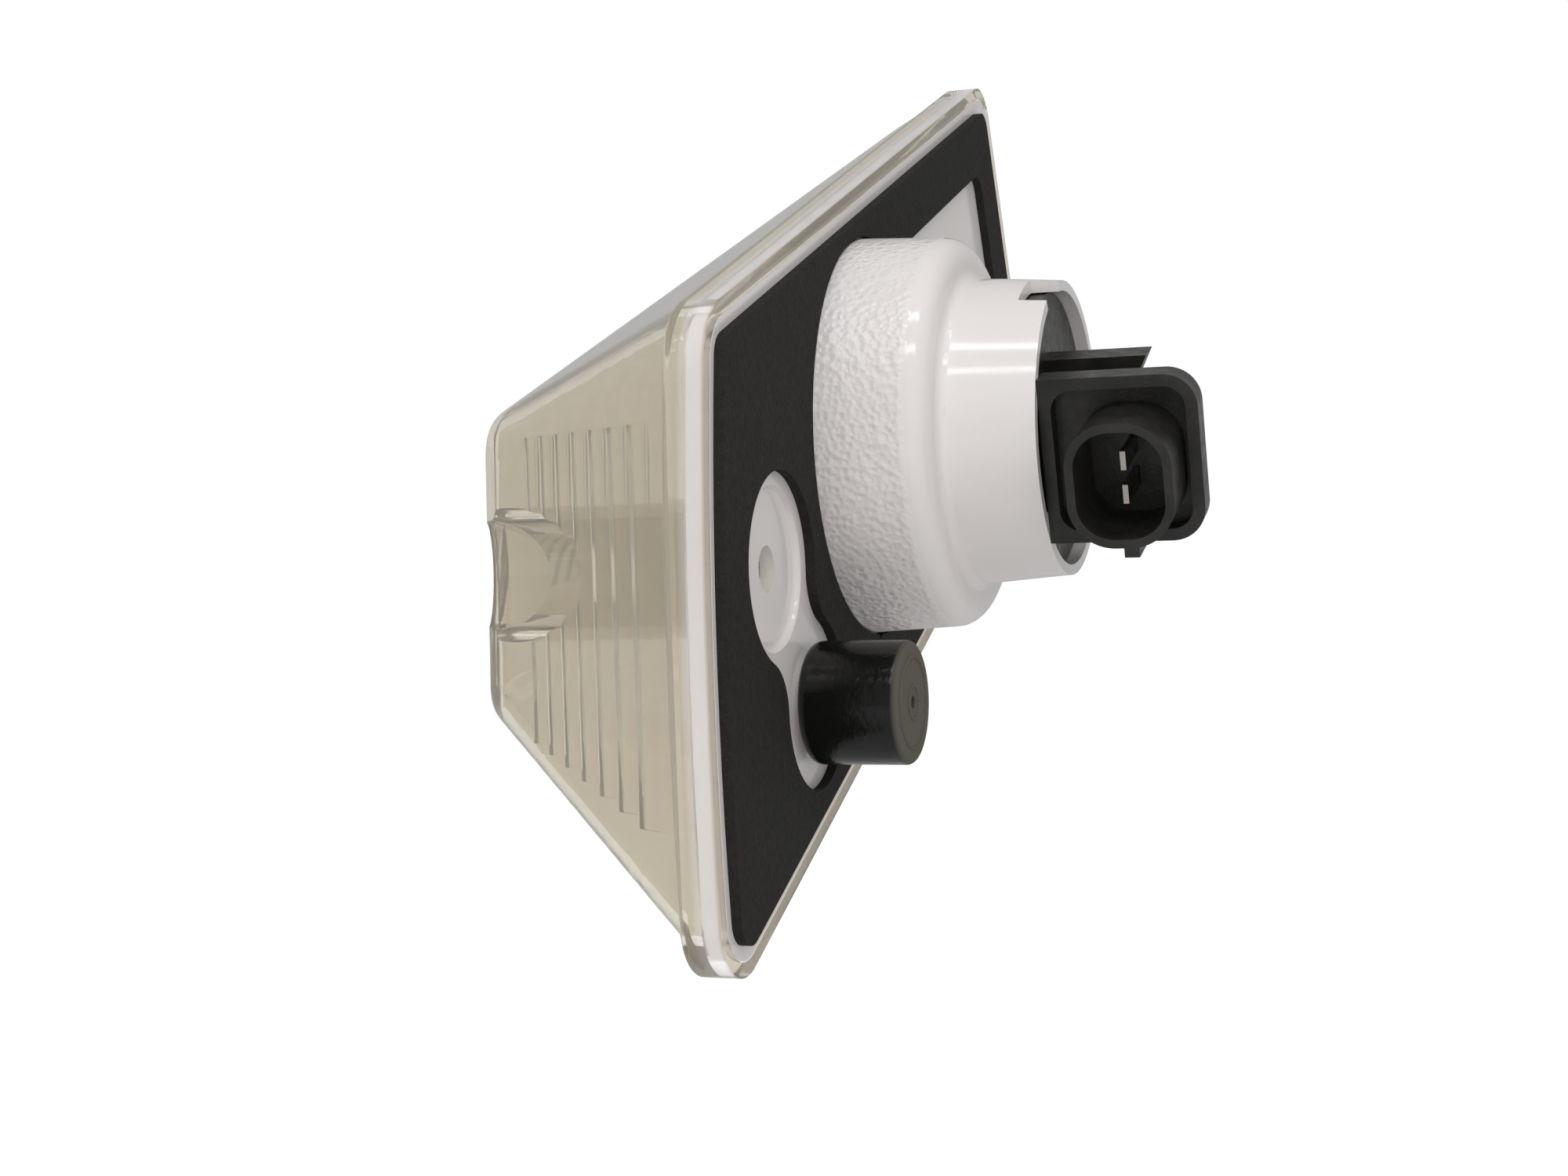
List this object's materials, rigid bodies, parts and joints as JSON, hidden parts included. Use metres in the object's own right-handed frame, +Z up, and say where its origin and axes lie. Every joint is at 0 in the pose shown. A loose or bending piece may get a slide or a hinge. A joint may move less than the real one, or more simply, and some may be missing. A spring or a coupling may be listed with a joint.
{
  "type": "vehicle indicator lamp",
  "caption": "Indicator lamp with a tapered clear lens, white housing with a round boss, foam gasket, vent cap and a twist-lock bulb holder with a side connector.",
  "frame": {"origin": "on the fixing screw's axis, at the rear end of its hole in the housing", "axes": "+X rearwards into the vehicle, so the lens faces -X; +Y towards the lamp's far, wider-set end; +Z up"},
  "size_m": [0.1048, 0.182, 0.1485],
  "materials": {
    "lens_clear": "clear moulded plastic, polished",
    "sealant": "cured sealant, satin",
    "housing_white": "white moulded plastic, grained boss and smooth collar",
    "gasket_foam": "closed-cell foam sheet, matt",
    "vent_rubber": "moulded rubber, satin side and matt end",
    "holder_black": "black moulded plastic, semi-gloss",
    "seal_rubber": "rubber ring, satin",
    "contact_metal": "tinned brass strip",
    "bulb_brass": "drawn brass, bright",
    "black_glass": "cast black glass",
    "solder": "solder, dull",
    "amber_glass": "amber-coated blown glass",
    "stem_glass": "pressed clear glass",
    "wire_metal": "drawn wire",
    "filament_metal": "coiled wire"
  },
  "bodies": {
    "lamp": {"lens": "lens_clear", "lens_bond": "sealant", "housing": "housing_white", "gasket": "gasket_foam", "vent_cap": "vent_rubber"},
    "bulb_unit": {"bulb_holder": "holder_black", "holder_seal": "seal_rubber", "live_contact": "contact_metal", "earth_contact": "contact_metal", "bulb_cap": "bulb_brass", "bulb_insulator": "black_glass", "bulb_button": "solder", "bulb_glass": "amber_glass", "bulb_stem": "stem_glass", "lead_wire_upper": "wire_metal", "lead_wire_lower": "wire_metal", "filament": "filament_metal"}
  },
  "joints": [
    {"name": "holder_turn", "type": "hinge", "parent": "lamp", "child": "bulb_unit", "pos_m": [0.0335, 0.0454, 0.0218], "axis": [1, 0, 0], "range_deg": [0, 40]}
  ]
}
